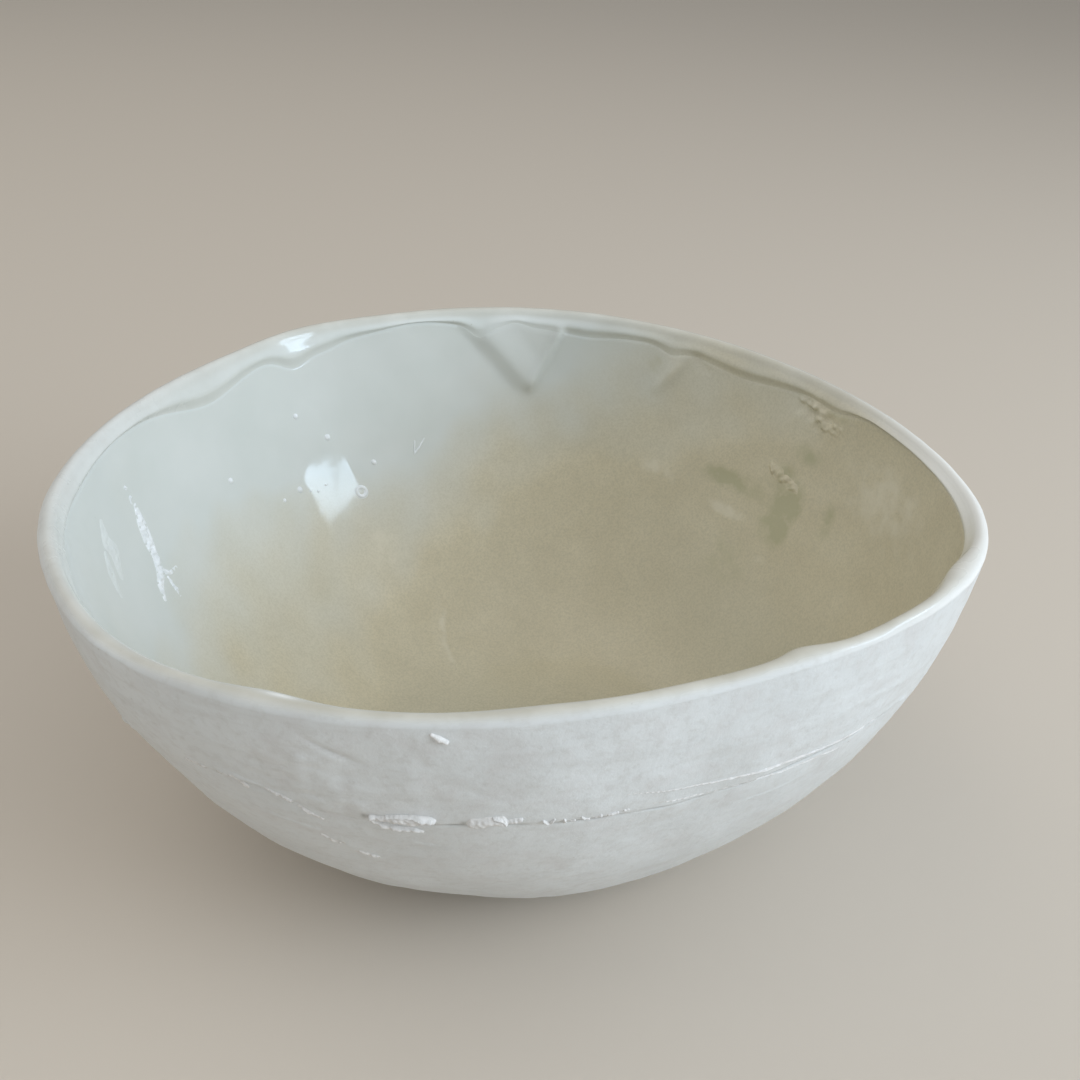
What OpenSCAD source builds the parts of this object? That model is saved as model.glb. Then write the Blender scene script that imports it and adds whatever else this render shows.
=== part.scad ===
// Hand-built porcelain bowl: a pressed lower dish, a band joined on above it, and a folded lip.
// Millimetres, Z up. The origin is under the middle of the outline, on the surface it stands on.
// Directions round the bowl are in degrees, 0 along +X and 90 along +Y.

/* [Bowl] */
// Overall length, along X
bowl_l = 170; // [120:1:240]
// Overall width, along Y
bowl_w = 154; // [110:1:230]
// Overall height
bowl_h = 80; // [70:1:110]
// Angle that the wall's arc turns through between the foot and the lip
wall_sweep = 83; // [60:1:88]
// How late the wall flares out: 1 is a plain arc
wall_fullness = 1.17; // [1:0.01:1.4]

/* [Foot and floor] */
// Diameter of the flat foot
foot_d = 62; // [45:1:75]
// How far the foot sits off the middle, along X
foot_shift_x = 12; // [0:0.5:15]
// How far the foot sits off the middle, along Y
foot_shift_y = 2; // [0:0.5:8]
// Thickness of the floor
floor_t = 4.5; // [3:0.1:7]
// How much smaller the flat of the floor is than the foot, all round
floor_inset = 3; // [1:0.5:6]

/* [Wall and lip] */
// Thickness of the wall below the lip
wall_t = 2.7; // [2.2:0.1:4.5]
// Width of the rounded lip where it is plain, more than the wall below it
lip_w = 2.9; // [2.8:0.1:6]
// Height of the rounding on top of the lip
lip_round = 1.7; // [1:0.1:2]
// How far the folded strip under the lip stands out from the wall inside
fold_t = 0.9; // [0.5:0.1:2]
// How far the folded strip reaches down from the top of the lip where it is plain
fold_drop = 4.4; // [4.2:0.1:7]

/* [Seam] */
// Height of the seam between the lower dish and the upper band, where it runs level
seam_z = 56.5; // [45:0.5:62]
// Half the height of the line of slip smeared along the seam
slip_h = 1; // [0.5:0.1:2]
// How far the slip stands out from the wall
slip_t = 0.35; // [0.2:0.05:1]

/* [Glaze and scraps] */
// Thickness of the clear glaze on the inside
glaze_t = 0.5; // [0.3:0.1:1]
// Thickness of the scraps of clay left on the wall
scrap_t = 0.8; // [0.4:0.1:1.5]

/* [Hidden] */

outside_colour = [0.86, 0.86, 0.85];
lip_colour = [0.90, 0.90, 0.87];
scrap_colour = [0.93, 0.93, 0.92];
glaze_colour = [0.76, 0.79, 0.73];

// Steps round the bowl
around = 72;
angles = [for (i = [0:around - 1]) i * 360 / around];

// The outline is a rounded ellipse that the maker's hands pushed out or in at these places:
// [direction, how far out, how wide in degrees]
egg = [81, 70.5];
swells = [[-139, 10.5, 41], [-64, -2.5, 22], [-14, 4.2, 21], [88, 9.5, 46], [130, 2.8, 14]];

// The folded strip hangs lower in these places: [direction, how much lower, how wide in degrees]
fold_lobes = [[175, -1.5, 14], [152.5, 3.2, 8.5], [133, 3.6, 3.8], [127, 1.6, 4], [110, -1.9, 8],
    [77, 1.3, 6], [46, 2.1, 9], [5, 1.6, 9], [-40, 2.8, 9], [-95, 2, 16], [-150, 2.4, 12]];

// The seam wanders up and down: [direction, how much higher, how wide in degrees]
seam_waves = [[-127, 4.5, 9], [-64, -3, 24], [15, 1.5, 25], [98, -1.4, 30], [165, 1.2, 22]];

// The lip is squeezed wider in some places and dips in others: [direction, how much, how wide]
lip_bulges = [[-155, 0.5, 9], [-120, 1.3, 5], [-91, 0.6, 7], [-55.5, 1.4, 3.5], [-25, 1.5, 5]];
lip_dips = [[-138, -0.8, 6], [-105, -0.25, 8], [-66, -0.25, 6], [-46, -0.4, 5]];

// Scraps of clay on the seam: [direction, height off the seam, length, width, tilt, shape]
scraps = [
    [-106.8, 1.2, 8.4, 2.2, -3, 10],
    [-108.6, -1.1, 6.4, 1.8, -14, 70],
    [-97.4, 1.1, 6.2, 2, -6, 130],
    [-94, 0.9, 2.7, 1.4, -4, 200],
    [-90, 0.4, 1.6, 1.2, 0, 40],
    [-82, 0.5, 1.8, 0.9, 0, 300]
];

// The pellet stuck to the outside just under the lip, in the same order but with its own height
pellet = [-101.8, 76.8, 3.3, 1.3, -36, 90];

// Torn scraps under the glaze: [direction, height, length, width, tilt, shape]
torn = [[31.5, 56, 8, 2.6, 10, 30], [26.6, 73, 7, 2.4, 25, 160]];
// How deep a scrap is bedded in what it sits on
bed = 0.12;

wall_top = bowl_h - lip_round;
focus = [foot_shift_x / 2, foot_shift_y / 2, bowl_h];

// The shortest way round from one direction to another
function turn(a) = a - 360 * round(a / 360);
function sum(v, i = 0) = i == len(v) ? 0 : v[i] + sum(v, i + 1);
function humps(a, list) = sum([for (h = list) h[1] * exp(-pow(turn(a - h[0]) / h[2], 2))]);
function unit(v) = v / norm(v);

// The outline as drawn, before it is sized to the bowl's length and width
function egg_r(a) = egg.x * egg.y / norm([egg.y * cos(a), egg.x * sin(a)]) + humps(a, swells);
drawn = [for (a = [0:359]) egg_r(a) * [cos(a), sin(a)]];
drawn_lo = [min([for (p = drawn) p.x]), min([for (p = drawn) p.y])];
drawn_hi = [max([for (p = drawn) p.x]), max([for (p = drawn) p.y])];
drawn_mid = (drawn_lo + drawn_hi) / 2;
drawn_size = drawn_hi - drawn_lo;

// A point of the outline, moved inwards by inset
function rim(a, inset = 0) =
    let (p = egg_r(a) * [cos(a), sin(a)] - drawn_mid)
    let (q = [p.x * bowl_l / drawn_size.x, p.y * bowl_w / drawn_size.y])
    q * (1 - inset / norm(q));

// How far a wall has gone from the foot to the lip, 0 to 1, at a share s of its height
function flare(s) =
    let (left = 1 - pow(max(s, 0), wall_fullness) * (1 - cos(wall_sweep)))
    sqrt(1 - left * left) / sin(wall_sweep);

// A point of a wall that rises from a flat circle at z0 to the outline at the wall's top
function wall(a, z, z0, flat_r, inset) =
    let (k = flare((z - z0) / (wall_top - z0)))
    let (base = [foot_shift_x + flat_r * cos(a), foot_shift_y + flat_r * sin(a)])
    let (p = base * (1 - k) + rim(a, inset) * k)
    [p.x, p.y, z];
function outside(a, z) = wall(a, z, 0, foot_d / 2, 0);
function inside(a, z) = wall(a, z, floor_t, foot_d / 2 - floor_inset, wall_t);

// A point moved off a wall, towards the open middle of the bowl
function lifted(p, by) = p + unit(focus - p) * by;

// How low the folded strip hangs at a direction
function fold_low(a) = bowl_h - fold_drop - humps(a, fold_lobes);

// Height of the seam at a direction
function seam(a) = seam_z + humps(a, seam_waves);

// Heights of the rows of points, closer together where the wall turns up from the flat
function rows(z0, z1, n) = [for (i = [0:n]) z0 + (z1 - z0) * pow(i / n, 1.8)];
function even(z0, z1, n) = [for (i = [0:n]) z0 + (z1 - z0) * i / n];
dish_steps = 9;
outer_steps = 4;
band_steps = 3;
fold_steps = 3;
function dish_outer_rows(a) = concat(rows(0, seam(a) - slip_h, dish_steps), [seam(a)]);
function dish_inner_rows(a) = rows(floor_t, seam(a), dish_steps);
function band_outer_rows(a) = concat([seam(a)], even(seam(a) + slip_h, wall_top, outer_steps));
function inner_rows(a) = even(seam(a), fold_low(a), band_steps);
function fold_rows(a) = even(fold_low(a), wall_top, fold_steps);

function reversed(v) = [for (i = [len(v) - 1:-1:0]) v[i]];

// A solid ring: loops holds one closed section for each direction
module ring(loops) {
    n = len(loops);
    m = len(loops[0]);
    points = [for (loop = loops) each loop];
    faces = [for (i = [0:n - 1], j = [0:m - 1])
        let (a = i * m + j, b = i * m + (j + 1) % m)
        let (c = ((i + 1) % n) * m + (j + 1) % m, d = ((i + 1) % n) * m + j)
        each [[a, b, c], [a, c, d]]];
    polyhedron(points, faces);
}

// A solid cup: layers are rings of points, from the underside's flat round to the floor's flat
module cup(layers) {
    n = len(layers);
    m = len(layers[0]);
    points = [for (layer = layers) each layer];
    skin = [for (i = [0:n - 2], j = [0:m - 1])
        let (a = i * m + j, b = i * m + (j + 1) % m)
        let (c = (i + 1) * m + (j + 1) % m, d = (i + 1) * m + j)
        each [[a, c, b], [a, d, c]]];
    under = [for (j = [0:m - 1]) j];
    floor_flat = [for (j = [m - 1:-1:0]) (n - 1) * m + j];
    polyhedron(points, concat(skin, [under], [floor_flat]));
}

// A lumpy crumb of clay on a surface, where place(u, v, h) is a point u along, v across and h out
module crumb(l, w, t, shape, place) {
    sides = 12;
    shares = [0.4, 0.75, 1];
    function edge(f) = 1 + 0.14 * sin(2 * f + shape) + 0.1 * sin(5 * f + 3 * shape);
    function high(q) = t * sqrt(1 - q * q) - bed;
    top = [place(0, 0, high(0))];
    rings = [for (q = shares, i = [0:sides - 1])
        let (f = i * 360 / sides)
        place(q * edge(f) * l / 2 * cos(f), q * edge(f) * w / 2 * sin(f), high(q))];
    back = [place(0, 0, -2 * bed)];
    last = 1 + sides * (len(shares) - 1);
    cap = [for (i = [0:sides - 1]) [0, 1 + (i + 1) % sides, 1 + i]];
    skirt = [for (k = [0:len(shares) - 2], i = [0:sides - 1])
        let (a = 1 + k * sides + i, b = 1 + k * sides + (i + 1) % sides)
        each [[a, b, b + sides], [a, b + sides, a + sides]]];
    bottom = [for (i = [0:sides - 1]) [last + sides, last + i, last + (i + 1) % sides]];
    polyhedron(concat(top, rings, back), concat(cap, skirt, bottom));
}

// Places a crumb's points on a wall, turned by tilt about its own middle
function beside(a, z, tilt, u, v, r) =
    [a + (u * cos(tilt) - v * sin(tilt)) * 180 / (PI * r), z + u * sin(tilt) + v * cos(tilt)];
function on_outside(a, z, tilt, u, v, h) =
    let (q = beside(a, z, tilt, u, v, norm(rim(a))))
    lifted(outside(q[0], q[1]), -h);
function on_glaze(a, z, tilt, u, v, h) =
    let (q = beside(a, z, tilt, -u, v, norm(rim(a))))
    lifted(inside(q[0], q[1]), glaze_t + h);

module lower_dish() {
    outer = [for (i = [0:dish_steps + 1]) [for (a = angles) outside(a, dish_outer_rows(a)[i])]];
    inner = [for (i = [dish_steps:-1:0]) [for (a = angles) inside(a, dish_inner_rows(a)[i])]];
    color(outside_colour) cup(concat(outer, inner));
}

module upper_band() {
    loops = [for (a = angles) concat(
        [for (z = band_outer_rows(a)) outside(a, z)],
        [for (z = reversed(fold_rows(a))) inside(a, z)],
        [for (i = [band_steps - 1:-1:0]) inside(a, inner_rows(a)[i])])];
    color(outside_colour) ring(loops);
}

module lip_roll() {
    // The lip's rounding, then the strip's face, which stands out most just above its lower edge
    function width(a) = lip_w + humps(a, lip_bulges);
    function over(a, f) =
        let (p = rim(a, width(a) / 2 * (1 - cos(f))))
        [p.x, p.y, wall_top + (lip_round + humps(a, lip_dips)) * sin(f)];
    function face(a, s) =
        let (z = wall_top + (fold_low(a) - wall_top) * s)
        let (rounding = sqrt(1 - pow(max(0, s - 0.75) / 0.25, 2)))
        lifted(inside(a, z), (width(a) - wall_t) * (1 - s) + fold_t * pow(s, 0.8) * rounding);
    loops = [for (a = angles) concat(
        [for (f = [0:30:180]) over(a, f)],
        [for (s = [0.35, 0.7, 0.9]) face(a, s)],
        [for (z = fold_rows(a)) inside(a, z)])];
    color(lip_colour) ring(loops);
}

module seam_slip() {
    // The smear is thicker in some places than in others
    function proud(a) = slip_t * (0.75 + 0.25 * sin(5 * a + 40));
    loops = [for (a = angles) [
        outside(a, seam(a)),
        outside(a, seam(a) - slip_h),
        lifted(outside(a, seam(a) - 0.3 * slip_h), -proud(a)),
        lifted(outside(a, seam(a) + 0.3 * slip_h), -proud(a)),
        outside(a, seam(a) + slip_h)
    ]];
    color(scrap_colour) ring(loops);
}

module seam_scraps() {
    color(scrap_colour)
        for (s = scraps)
            crumb(s[2], s[3], slip_t + scrap_t, s[5], function (u, v, h)
                on_outside(s[0], seam(s[0]) + s[1], s[4], u, v, h));
}

module wall_pellet() {
    color(scrap_colour)
        crumb(pellet[2], pellet[3], scrap_t, pellet[5], function (u, v, h)
            on_outside(pellet[0], pellet[1], pellet[4], u, v, h));
}

module inside_glaze() {
    // The glaze thins out to nothing where it meets the folded strip
    function coat(i) = glaze_t * (i < band_steps ? 1 : 0);
    dish = [for (i = [0:dish_steps]) [for (a = angles) inside(a, dish_inner_rows(a)[i])]];
    band = [for (i = [1:band_steps]) [for (a = angles) inside(a, inner_rows(a)[i])]];
    band_face = [for (i = [1:band_steps - 1])
        [for (a = angles) lifted(inside(a, inner_rows(a)[i]), coat(i))]];
    dish_face = [for (layer = dish) [for (p = layer) lifted(p, glaze_t)]];
    flat_face = [for (p = dish[0]) p + [0, 0, glaze_t]];
    face = concat([flat_face], [for (i = [1:len(dish_face) - 1]) dish_face[i]], band_face);
    color(glaze_colour) cup(concat(dish, band, reversed(face)));
}

module inner_scraps() {
    color(scrap_colour)
        for (s = torn)
            crumb(s[2], s[3], scrap_t, s[5], function (u, v, h)
                on_glaze(s[0], s[1], s[4], u, v, h));
}

lower_dish();
upper_band();
lip_roll();
seam_slip();
seam_scraps();
wall_pellet();
inside_glaze();
inner_scraps();
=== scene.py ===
"""A hand-built porcelain bowl: satin white outside, clear grey-green glaze inside.

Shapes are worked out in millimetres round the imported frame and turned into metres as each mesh
is made. Directions are in degrees round the bowl, 0 along +X and 90 along +Y. In the functions,
a is a direction, z a height above the foot, p a point and n the way out of a face.
"""

import math

import bpy
import numpy as np
from mathutils import Matrix, Vector


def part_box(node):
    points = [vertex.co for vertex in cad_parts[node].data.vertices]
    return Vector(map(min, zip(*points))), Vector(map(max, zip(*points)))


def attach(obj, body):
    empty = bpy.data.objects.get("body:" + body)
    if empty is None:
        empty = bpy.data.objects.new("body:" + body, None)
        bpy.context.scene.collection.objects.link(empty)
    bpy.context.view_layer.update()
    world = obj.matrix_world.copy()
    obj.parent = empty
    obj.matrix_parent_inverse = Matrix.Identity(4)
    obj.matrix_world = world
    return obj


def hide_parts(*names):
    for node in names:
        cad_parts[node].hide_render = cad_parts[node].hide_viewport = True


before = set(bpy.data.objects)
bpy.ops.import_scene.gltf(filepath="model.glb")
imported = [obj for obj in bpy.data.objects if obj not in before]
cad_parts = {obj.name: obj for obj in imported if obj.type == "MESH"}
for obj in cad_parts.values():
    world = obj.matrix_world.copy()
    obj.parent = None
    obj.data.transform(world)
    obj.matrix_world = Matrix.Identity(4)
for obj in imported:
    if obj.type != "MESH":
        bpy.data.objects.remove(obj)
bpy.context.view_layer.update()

MM = 0.001

# ---------------------------------------------------------------- sizes, in millimetres

_, band_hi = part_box("upper_band")
lip_lo, lip_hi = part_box("lip_roll")

BOWL_L = (lip_hi.x - lip_lo.x) / MM
BOWL_W = (lip_hi.y - lip_lo.y) / MM
BOWL_H = lip_hi.z / MM
WALL_TOP = band_hi.z / MM
LIP_ROUND = BOWL_H - WALL_TOP

# The same design values as the frame's own. Lists hold (direction, how much, how wide).
FOOT_R = 31
FOOT_SHIFT = (12, 2)
FLOOR_T = 4.5
FLOOR_INSET = 3
WALL_T = 2.7
LIP_W = 2.9
FOLD_T = 0.9
FOLD_DROP = 4.4
GLAZE_T = 0.5
SEAM_LEVEL = 56.5
SWEEP = math.radians(83)
FULLNESS = 1.17
EGG = (81, 70.5)
SWELLS = ((-139, 10.5, 41), (-64, -2.5, 22), (-14, 4.2, 21), (88, 9.5, 46), (130, 2.8, 14))
FOLD_LOBES = (
    (175, -1.5, 14), (152.5, 3.2, 8.5), (133, 3.6, 3.8), (127, 1.6, 4), (110, -1.9, 8),
    (77, 1.3, 6), (46, 2.1, 9), (5, 1.6, 9), (-40, 2.8, 9), (-95, 2, 16), (-150, 2.4, 12),
)
LIP_BULGES = ((-155, 0.5, 9), (-120, 1.3, 5), (-91, 0.6, 7), (-55.5, 1.4, 3.5), (-25, 1.5, 5))
LIP_DIPS = ((-138, -0.8, 6), (-105, -0.25, 8), (-66, -0.25, 6), (-46, -0.4, 5))
SEAM_WAVES = ((-127, 4.5, 9), (-64, -3, 24), (15, 1.5, 25), (98, -1.4, 30), (165, 1.2, 22))

# Finer lobes of the folded strip, too small for the frame
FINE_LOBES = (
    (97.5, 2.6, 2.2), (106, -0.4, 6), (90.5, -1.2, 2.5), (60.7, 1.5, 2.5), (26, 0.8, 3),
    (18, -0.9, 5), (6, -3.5, 13),
)
# The strip's lower edge is rounded over FOLD_ROUND, and ends at FOLD_END of the way out to the
# glaze's face
FOLD_ROUND = 2.9
FOLD_END = 0.9
# How far the lip rolls round, in degrees, before it runs on into the strip
LIP_TURN = 150

# Random relief: (how high, how big its lumps are, seed)
OUTSIDE_LUMPS = ((0.16, 34, 11), (0.06, 13, 12), (0.025, 5, 16))
INSIDE_LUMPS = ((0.15, 30, 21), (0.045, 12, 22))
FINE_LUMPS = ((0.012, 9, 23), (0.004, 3.6, 24))

# Fingertip marks on the front left: (how proud, (direction, height), spread (along, up), lean)
FINGER_MARKS = (
    (-0.4, (-112, 68), (5.5, 4), 30),
    (-0.3, (-121, 63), (6, 4), -20),
    (0.25, (-106, 66), (4, 3.5), 10),
)
# Creases on the band there: (ends as (direction, height), width, how proud)
CREASES = (
    (((-116, 75), (-110.5, 70)), 0.45, -0.35),
    (((-118, 72), (-113, 68)), 0.8, 0.12),
    (((-100, 66), (-95.5, 62)), 0.8, -0.1),
)
# Crinkles and scrape lines on the dish, mostly on the front left: ends as (direction, height)
CRINKLES = (
    ((-117.5, 48.5), (-114.5, 44.5)), ((-116, 44), (-111.5, 42)), ((-112, 46.5), (-103, 43.5)),
    ((-107.5, 50), (-100.5, 47)), ((-124, 52.5), (-117, 50)), ((-126, 47), (-121, 44)),
    ((-109, 39), (-98, 37)), ((-86, 44.5), (-74, 43)), ((-62, 46), (-50, 47.5)),
)
CRINKLE_W = 0.45
CRINKLE_H = 0.16

# Where the band laps over the dish on the front right: the edge is lowest at LAP_MIDDLE, and
# LAP_RISE higher at LAP_HALF degrees to either side of it, and the band is LAP_STEP prouder
LAP_LOW = 55.8
LAP_RISE = 3.2
LAP_MIDDLE = -50
LAP_HALF = 27
LAP_STEP = 0.14

# A folded tongue inside the back, and a smaller one, worn down to a soft ridge with a short
# groove on its right: places are (direction, height), and the tongue's top is (first edge, other
# edge, height)
TONGUE_TIP = (88.5, 59.5)
TONGUE_TOP = (99.5, 82, 76)
TONGUE_H = 1.15
SMALL_RIDGE = ((56.8, 76.5), (63.2, 63.5))
SMALL_GROOVE = ((57, 76.4), (52.4, 72))

# Pale and dark places in the glaze, mostly brushwork strokes on the right, and one pale place of
# painted light: (how strong, (direction, height), spread (along, up), lean)
PALE_STROKES_AND_LIGHT = (
    (1, (41.8, 42.3), (7.5, 1.5), 0), (0.6, (60, 46), (8, 2.6), 8), (0.5, (25, 47), (1.5, 6), 10),
    # The pale place at (9, 64) is painted light, bounced onto the right end of the inside
    (0.4, (31, 36), (5, 2), 0), (0.7, (60, 69.7), (1.3, 4.5), 38), (0.6, (9, 64), (15, 9), 0),
    (0.42, (128, 27), (9, 6), 0),
)
DARK_STROKES = (
    (0.9, (44.5, 49.3), (7, 2.2), 0), (0.6, (31, 56.8), (4.5, 2.5), 0),
    (0.8, (29, 50.5), (4.5, 3.5), 0), (0.7, (30, 43.6), (6, 3.5), 0),
    (0.7, (19.7, 52.7), (2.2, 4.5), -15), (0.8, (28.5, 63.4), (4, 2.2), 0),
    (0.4, (38, 32), (9, 6), 0), (0.3, (63, 71), (3, 3), 0), (0.4, (25, 75), (6, 2), 0),
    (0.3, (33, 48.5), (12, 6), 0),
)
# Torn places on the right, softened by the glaze
TEARS = ((1, (28.5, 73), (6, 3), -15), (0.7, (32.3, 55.8), (3.5, 1.8), 0))

# A smooth place on the left, where the wall turns a little: (direction, height)
SMOOTH_PLACE = (137, 39)
# Ends of the soft crease where the wall turns into the floor
FLOOR_CREASE = ((119.5, 14.5), (136, 5.5))

# The clay behind the glaze, and the glaze's own back, are drawn a little back, so that hollows in
# the glaze stay clear of them
CLAY_BACK = 0.9
GLAZE_BACK = 0.81

# Edges sharper than this are left sharp, in degrees
SHARP_EDGE = 50

# Points round the bowl in each row
COLS = 840
DIRECTIONS = np.arange(COLS) * 360 / COLS


# ---------------------------------------------------------------- shape of the bowl


def turn(a):
    """The shortest way round from one direction to another, in degrees."""
    return a - 360 * np.round(a / 360)


def hump(a, centre, spread):
    """1 at the centre direction, falling to nothing past about twice the spread, in degrees."""
    return np.exp(-((turn(a - centre) / spread) ** 2))


def humps(a, places):
    """Several humps together, each (centre, how much, spread)."""
    return sum(amount * hump(a, centre, spread) for centre, amount, spread in places)


def egg_point(a):
    """A point of the outline as drawn, before it is fitted to the frame's length and width."""
    c, s = np.cos(np.radians(a)), np.sin(np.radians(a))
    r = EGG[0] * EGG[1] / np.hypot(EGG[1] * c, EGG[0] * s) + humps(a, SWELLS)
    return np.stack([r * c, r * s], -1)


_drawn = egg_point(np.arange(0, 360.0))
_drawn_mid = (_drawn.min(0) + _drawn.max(0)) / 2
_drawn_scale = np.array([BOWL_L, BOWL_W]) / (_drawn.max(0) - _drawn.min(0))


def rim(a, inset=0):
    """A point of the outline, moved inwards by inset."""
    q = (egg_point(a) - _drawn_mid) * _drawn_scale
    return q * (1 - inset / np.linalg.norm(q, axis=-1))[..., None]


def flare(s):
    """How far the wall has come from the foot to the outline, at a share s of its height."""
    left = 1 - np.maximum(s, 0) ** FULLNESS * (1 - math.cos(SWEEP))
    return np.sqrt(1 - left * left) / math.sin(SWEEP)


def wall(a, z, z0, flat_r, inset):
    """Points of a wall that rises from a flat circle at z0 to the outline at the wall's top."""
    a, z = np.broadcast_arrays(np.asarray(a, float), np.asarray(z, float))
    k = flare((z - z0) / (WALL_TOP - z0))[..., None]
    x = FOOT_SHIFT[0] + flat_r * np.cos(np.radians(a))
    y = FOOT_SHIFT[1] + flat_r * np.sin(np.radians(a))
    p = np.stack([x, y], -1) * (1 - k) + rim(a, inset) * k
    return np.concatenate([p, z[..., None]], -1)


def outside(a, z):
    return wall(a, z, 0, FOOT_R, 0)


def inside(a, z):
    return wall(a, z, FLOOR_T, FOOT_R - FLOOR_INSET, WALL_T)


def seam(a):
    """Height of the seam between the dish and the band."""
    return SEAM_LEVEL + humps(a, SEAM_WAVES)


def fold_low(a):
    """Height of the folded strip's lower edge."""
    return BOWL_H - FOLD_DROP - humps(a, FOLD_LOBES + FINE_LOBES)


def lip_width(a):
    return LIP_W + humps(a, LIP_BULGES)


def lip_height(a):
    return LIP_ROUND + humps(a, LIP_DIPS)


def unit(v):
    """Vectors made one unit long."""
    return v / np.maximum(np.linalg.norm(v, axis=-1, keepdims=True), 1e-9)


def inwards(p):
    """The way from points of the wall to the middle of the bowl's mouth."""
    return unit(np.array([FOOT_SHIFT[0] / 2, FOOT_SHIFT[1] / 2, BOWL_H]) - p)


def flat_disc(radius, z, shares):
    """Rings of points on a flat round, from the middle out."""
    rings = []
    for share in shares:
        x = FOOT_SHIFT[0] + radius * share * np.cos(np.radians(DIRECTIONS))
        y = FOOT_SHIFT[1] + radius * share * np.sin(np.radians(DIRECTIONS))
        rings.append(np.stack([x, y, np.full(COLS, float(z))], -1))
    return np.array(rings)


# ---------------------------------------------------------------- relief


def waves(p, size, seed, stretch=(1, 1, 1), count=28):
    """Smooth random relief of about unit height, with lumps about size across."""
    rng = np.random.default_rng(seed)
    aim = unit(rng.normal(size=(count, 3)))
    pitch = 2 * math.pi / size * rng.uniform(0.45, 1.25, count)
    phase = rng.uniform(0, 2 * math.pi, count)
    q = p / np.array(stretch, float)
    total = np.zeros(p.shape[:-1])
    for direction, k, shift in zip(aim, pitch, phase):
        total += np.sin(q @ direction * k + shift)
    return total / math.sqrt(count / 2)


def lumps(p, kinds):
    """Random relief of several kinds together, each (how high, how big, seed)."""
    return sum(height * waves(p, size, seed) for height, size, seed in kinds)


def smooth_step(x, x0, x1):
    """0 up to x0 and 1 from x1 on, with a soft start and end; x1 may be the lower one."""
    t = np.clip((x - x0) / (x1 - x0), 0, 1)
    return t * t * (3 - 2 * t)


# Millimetres round the wall for each degree, near the lip
PER_DEGREE = math.radians(1) * 78


def spot(a, z, centre, spread, lean=0.0):
    """A soft spot at (direction, height), spread (along, up) in mm, leaning by lean degrees."""
    along = turn(a - centre[0]) * PER_DEGREE
    up = z - centre[1]
    c, s = math.cos(math.radians(lean)), math.sin(math.radians(lean))
    u, v = along * c + up * s, -along * s + up * c
    return np.exp(-((u / spread[0]) ** 2) - (v / spread[1]) ** 2)


def spots(a, z, places):
    """Several soft spots together, each (how strong, centre, spread, lean)."""
    return sum(amount * spot(a, z, centre, spread, lean) for amount, centre, spread, lean in places)


def ridge(a, z, ends, width, height):
    """A raised line between two places on the wall, tapering at both ends."""
    (a0, z0), (a1, z1) = ends
    way = np.array([turn(a1 - a0) * PER_DEGREE, z1 - z0])
    length = np.linalg.norm(way)
    way /= length
    along, up = turn(a - a0) * PER_DEGREE, z - z0
    u, v = along * way[0] + up * way[1], -along * way[1] + up * way[0]
    taper = np.clip(u / length, 0, 1) * np.clip(1 - u / length, 0, 1) * 4
    return height * np.sqrt(taper) * np.exp(-((v / width) ** 2))


def lap_level(a):
    """Height of the fine raised edge where the band laps over, on the front right."""
    return LAP_LOW + LAP_RISE * ((turn(a) - LAP_MIDDLE) / LAP_HALF) ** 2


def seam_groove(a, z, p):
    """The thin gap just under the seam, deeper in some places than in others, 0 to 1."""
    depth = 0.6 + 0.3 * waves(p, 12, 41) + 0.2 * waves(p, 3, 42)
    front = 0.2 + 0.8 * smooth_step(turn(a), -112, -100) * smooth_step(turn(a), -20, -55)
    return np.clip(depth, 0, 1.3) * front * np.exp(-(((z - seam(a) + 0.35) / 0.28) ** 2))


def outside_relief(a, z, p):
    """How far the outside stands proud of the plain shape, in mm."""
    h = lumps(p, OUTSIDE_LUMPS)
    # Drag marks from wet hands run round the bowl
    h += 0.02 * waves(p, 3.2, 13, stretch=(14, 14, 1)) * (0.6 + 0.4 * waves(p, 30, 14))
    # The front left is handled more, and rougher
    h += spots(a, z, FINGER_MARKS)
    h += 0.07 * waves(p, 2.8, 17) * spot(a, z, (-117, 64), (15, 10))
    for crease in CREASES:
        h += ridge(a, z, *crease)
    # The band is a little proud of the dish
    above = z - seam(a)
    step = 0.1 + 0.06 * np.sin(np.radians(3 * a + 20))
    h += step / (1 + np.exp(-above / 0.2)) * np.exp(-np.maximum(above, 0) / 9)
    h -= 0.32 * seam_groove(a, z, p)
    on_right = smooth_step(turn(a), -80, -64) * smooth_step(turn(a), -30, -44)
    h += LAP_STEP * on_right * smooth_step(z - lap_level(a), -0.6, 0.1) * smooth_step(z, 74, 60)
    for ends in CRINKLES:
        h += ridge(a, z, ends, CRINKLE_W, CRINKLE_H)
    # Nothing stands below the foot
    return h * np.clip(z / 6, 0, 1)


def tongue(a, z, tip, top, height):
    """A tongue of folded clay hanging from the lip, with a dip inside its right edge.

    tip is (direction, height); top is (first edge, other edge, height) where it leaves the strip.
    """
    share = np.clip((z - tip[1]) / (top[2] - tip[1]), -0.2, 1.2)
    first = tip[0] + (top[0] - tip[0]) * share + 1.2
    other = tip[0] + (top[1] - tip[0]) * share - 1.2
    left, right = (first - a) * PER_DEGREE, (a - other) * PER_DEGREE
    body = smooth_step(left, -2.2, 4.6) * smooth_step(right, -1.2, 1.2)
    body *= 1 - 0.5 * smooth_step(left, 4, 14)
    body += 0.4 * np.exp(-(((right - 1.6) / 1.1) ** 2)) * smooth_step(left, -0.5, 3.5)
    return height * body * smooth_step(z, tip[1] - 2.2, tip[1] + 2.5)


def floor_crease(a, z):
    """A soft crease low on the left, where the wall turns into the floor."""
    return ridge(a, z, FLOOR_CREASE, 1.0, 1)


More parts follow.
